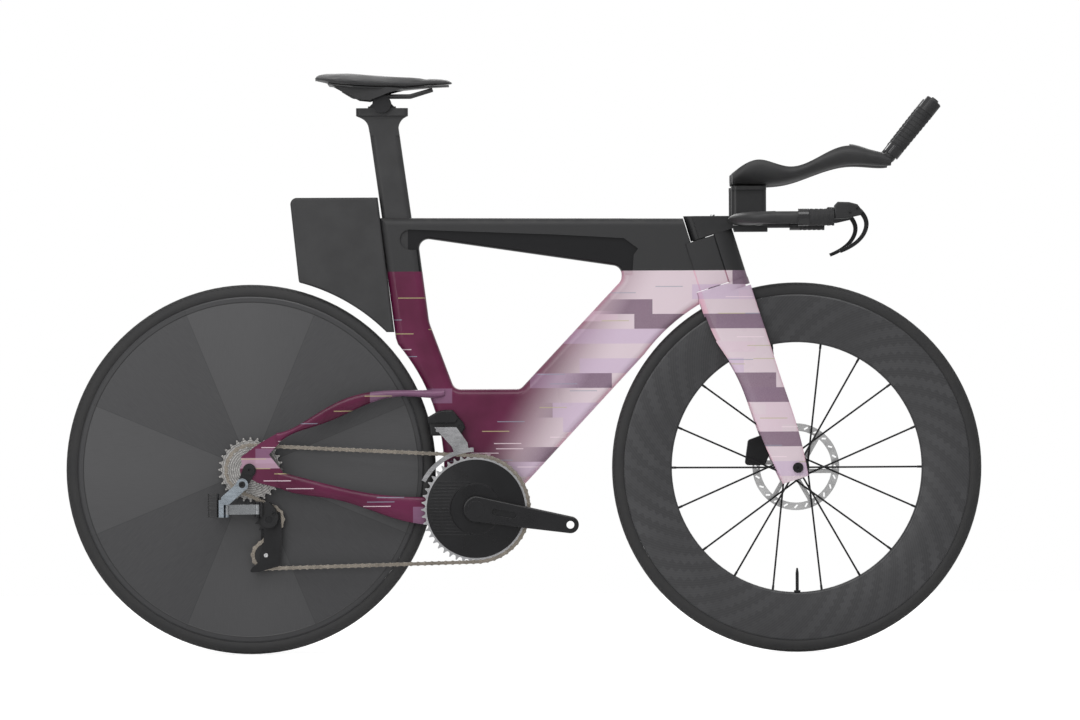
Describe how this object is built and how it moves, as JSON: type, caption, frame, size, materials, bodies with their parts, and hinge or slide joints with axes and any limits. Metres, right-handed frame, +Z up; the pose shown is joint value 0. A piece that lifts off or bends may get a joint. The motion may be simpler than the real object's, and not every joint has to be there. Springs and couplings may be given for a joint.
{
  "type": "time trial bike",
  "caption": "Time trial bicycle with an aero frame, a closed disc rear wheel, a deep rim front wheel, extension arms, disc brakes and a chain drive with derailleurs.",
  "frame": {"origin": "on the ground, midway between the two wheel axles, in the middle plane", "axes": "+X forward, +Y to the rider's left, +Z up"},
  "size_m": [1.679, 0.441, 1.0663],
  "materials": {
    "frame_paint": "painted carbon moulding",
    "fork_paint": "painted carbon moulding",
    "black_carbon": "matt carbon",
    "wheel_carbon": "satin carbon",
    "black_plastic": "matt",
    "gloss_black": "gloss",
    "black_alloy": "black anodised",
    "silver_alloy": "satin silver",
    "bearing_steel": "brushed",
    "spoke_steel": "black coated",
    "chain_steel": "plated",
    "brake_pad": "compound on steel plate",
    "tyre_rubber": "matt rubber",
    "saddle_skin": "matt synthetic leather over foam",
    "grip_tape": "matt wound tape"
  },
  "bodies": {
    "frame": {"frame": "frame_paint", "frame_bearings": "bearing_steel", "top_tube_covers": "black_plastic", "storage_box": "black_plastic", "derailleur_hanger": "black_alloy", "rear_thru_axle": "black_alloy", "rear_hub_axle": "bearing_steel", "rear_caliper": "black_alloy", "front_derailleur_body": "black_plastic", "derailleur_knuckle": "silver_alloy", "chain": "chain_steel"},
    "storage_lid": {"storage_lid": "black_plastic"},
    "seatpost": {"seatpost": "black_carbon"},
    "saddle_carriage": {"saddle_carriage": "black_alloy"},
    "saddle": {"saddle_clamp": "black_alloy", "saddle_rails": "black_carbon", "saddle_shell": "black_plastic", "saddle_cover": "saddle_skin"},
    "steering": {"fork": "fork_paint", "stem": "black_alloy", "base_bar": "black_carbon", "arm_risers": "black_alloy", "extension_arms": "black_carbon", "grip_tape": "grip_tape", "tape_rings": "gloss_black", "shifter_housings": "black_plastic", "brake_lever_bodies": "black_plastic", "front_thru_axle": "black_alloy", "front_hub_axle": "bearing_steel", "front_caliper": "black_alloy"},
    "front_wheel": {"front_tyre": "tyre_rubber", "front_rim": "wheel_carbon", "front_spokes": "spoke_steel", "front_hub": "black_alloy", "front_rotor": "bearing_steel", "front_valve": "black_alloy"},
    "rear_wheel": {"rear_tyre": "tyre_rubber", "rear_disc": "wheel_carbon", "rear_hub": "black_alloy", "rear_rotor": "bearing_steel"},
    "crank": {"crank_arm_right": "black_alloy", "crank_arm_left": "black_alloy", "chain_rings": "silver_alloy", "chainring_cover": "black_plastic"},
    "left_shift_button": {"left_shift_button": "gloss_black"},
    "right_shift_button": {"right_shift_button": "gloss_black"},
    "left_brake_lever": {"left_brake_lever": "black_alloy"},
    "right_brake_lever": {"right_brake_lever": "black_alloy"},
    "front_pad_left": {"front_pad_left": "brake_pad"},
    "front_pad_right": {"front_pad_right": "brake_pad"},
    "rear_pad_left": {"rear_pad_left": "brake_pad"},
    "rear_pad_right": {"rear_pad_right": "brake_pad"},
    "cassette": {"cassette": "silver_alloy"},
    "front_derailleur_cage": {"front_derailleur_cage": "silver_alloy"},
    "derailleur_outer_link": {"derailleur_outer_link": "silver_alloy"},
    "derailleur_inner_link": {"derailleur_inner_link": "black_alloy"},
    "derailleur_lower_knuckle": {"derailleur_lower_knuckle": "silver_alloy"},
    "derailleur_cage": {"derailleur_cage": "black_alloy"},
    "guide_pulley": {"guide_pulley": "black_plastic"},
    "tension_pulley": {"tension_pulley": "black_plastic"}
  },
  "joints": [
    {"name": "steering", "type": "hinge", "parent": "frame", "child": "steering", "pos_m": [0.45949, 0, 0.32607], "axis": [-0.3007, 0, 0.9537], "range_deg": [-30, 30]},
    {"name": "front_wheel_spin", "type": "hinge", "parent": "steering", "child": "front_wheel", "pos_m": [0.5005, 0, 0.339], "axis": [0, 1, 0], "continuous": true},
    {"name": "rear_wheel_spin", "type": "hinge", "parent": "frame", "child": "rear_wheel", "pos_m": [-0.5005, 0, 0.339], "axis": [0, 1, 0], "continuous": true},
    {"name": "crank_spin", "type": "hinge", "parent": "frame", "child": "crank", "pos_m": [-0.088, 0, 0.266], "axis": [0, 1, 0], "continuous": true, "deforming": ["chain"]},
    {"name": "cassette_spin", "type": "hinge", "parent": "frame", "child": "cassette", "pos_m": [-0.5005, 0, 0.339], "axis": [0, 1, 0], "continuous": true, "deforming": ["chain"]},
    {"name": "derailleur_shift", "type": "hinge", "parent": "frame", "child": "derailleur_outer_link", "pos_m": [-0.542, -0.084, 0.267], "axis": [0, 0, 1], "range_deg": [-34, 7], "deforming": ["chain"]},
    {"name": "derailleur_inner_swing", "type": "hinge", "parent": "frame", "child": "derailleur_inner_link", "pos_m": [-0.542, -0.071, 0.267], "axis": [0, 0, 1], "range_deg": [-34, 7]},
    {"name": "derailleur_knuckle_swing", "type": "hinge", "parent": "derailleur_outer_link", "child": "derailleur_lower_knuckle", "pos_m": [-0.487, -0.066, 0.267], "axis": [0, 0, 1], "range_deg": [-7, 34], "deforming": ["chain"]},
    {"name": "derailleur_cage_swing", "type": "hinge", "parent": "derailleur_lower_knuckle", "child": "derailleur_cage", "pos_m": [-0.466, -0.0316, 0.248], "axis": [0, 1, 0], "range_deg": [-20, 25], "stiffness_Nm_per_rad": 1, "deforming": ["chain"]},
    {"name": "guide_pulley_spin", "type": "hinge", "parent": "derailleur_cage", "child": "guide_pulley", "pos_m": [-0.466, -0.0316, 0.248], "axis": [0, 1, 0], "continuous": true, "deforming": ["chain"]},
    {"name": "tension_pulley_spin", "type": "hinge", "parent": "derailleur_cage", "child": "tension_pulley", "pos_m": [-0.47252, -0.0316, 0.18232], "axis": [0, 1, 0], "continuous": true, "deforming": ["chain"]},
    {"name": "front_derailleur_shift", "type": "slide", "parent": "frame", "child": "front_derailleur_cage", "axis": [0, 1, 0], "range_m": [0, 0.007], "deforming": ["chain"]},
    {"name": "seatpost_height", "type": "slide", "parent": "frame", "child": "seatpost", "axis": [-0.1392, 0, 0.9903], "range_m": [-0.06, 0.04]},
    {"name": "saddle_setback", "type": "slide", "parent": "seatpost", "child": "saddle_carriage", "axis": [1, 0, 0], "range_m": [-0.02, 0.02]},
    {"name": "saddle_tilt", "type": "hinge", "parent": "saddle_carriage", "child": "saddle", "pos_m": [-0.25763, 0, 1.008], "axis": [0, 1, 0], "range_deg": [-10, 10]},
    {"name": "storage_lid_hinge", "type": "hinge", "parent": "frame", "child": "storage_lid", "pos_m": [-0.3018, 0, 0.8351], "axis": [0, 1, 0], "range_deg": [0, 100]},
    {"name": "left_brake_pull", "type": "hinge", "parent": "steering", "child": "left_brake_lever", "pos_m": [0.603, 0.205, 0.808], "axis": [0, 1, 0], "range_deg": [0, 25], "stiffness_Nm_per_rad": 1.5},
    {"name": "left_shift_press", "type": "slide", "parent": "steering", "child": "left_shift_button", "axis": [-0.6293, 0, -0.7771], "range_m": [0, 0.0015], "stiffness_N_per_m": 1200},
    {"name": "right_brake_pull", "type": "hinge", "parent": "steering", "child": "right_brake_lever", "pos_m": [0.603, -0.205, 0.808], "axis": [0, 1, 0], "range_deg": [0, 25], "stiffness_Nm_per_rad": 1.5},
    {"name": "right_shift_press", "type": "slide", "parent": "steering", "child": "right_shift_button", "axis": [-0.6293, 0, -0.7771], "range_m": [0, 0.0015], "stiffness_N_per_m": 1200},
    {"name": "front_left_pad_grip", "type": "slide", "parent": "steering", "child": "front_pad_left", "axis": [0, -1, 0], "range_m": [0, 0.0003]},
    {"name": "front_right_pad_grip", "type": "slide", "parent": "steering", "child": "front_pad_right", "axis": [0, 1, 0], "range_m": [0, 0.0003]},
    {"name": "rear_left_pad_grip", "type": "slide", "parent": "frame", "child": "rear_pad_left", "axis": [0, -1, 0], "range_m": [0, 0.0003]},
    {"name": "rear_right_pad_grip", "type": "slide", "parent": "frame", "child": "rear_pad_right", "axis": [0, 1, 0], "range_m": [0, 0.0003]}
  ],
  "couplings": [
    {"joint": "cassette_spin", "follows": "crank_spin", "ratio": 2.1818},
    {"joint": "guide_pulley_spin", "follows": "crank_spin", "ratio": -4},
    {"joint": "tension_pulley_spin", "follows": "crank_spin", "ratio": 4},
    {"joint": "derailleur_inner_swing", "follows": "derailleur_shift", "ratio": 1},
    {"joint": "derailleur_knuckle_swing", "follows": "derailleur_shift", "ratio": -1},
    {"joint": "front_left_pad_grip", "follows": "right_brake_pull", "m_per_rad": 0.00068686},
    {"joint": "front_right_pad_grip", "follows": "right_brake_pull", "m_per_rad": 0.00068686},
    {"joint": "rear_left_pad_grip", "follows": "left_brake_pull", "m_per_rad": 0.00068686},
    {"joint": "rear_right_pad_grip", "follows": "left_brake_pull", "m_per_rad": 0.00068686}
  ]
}
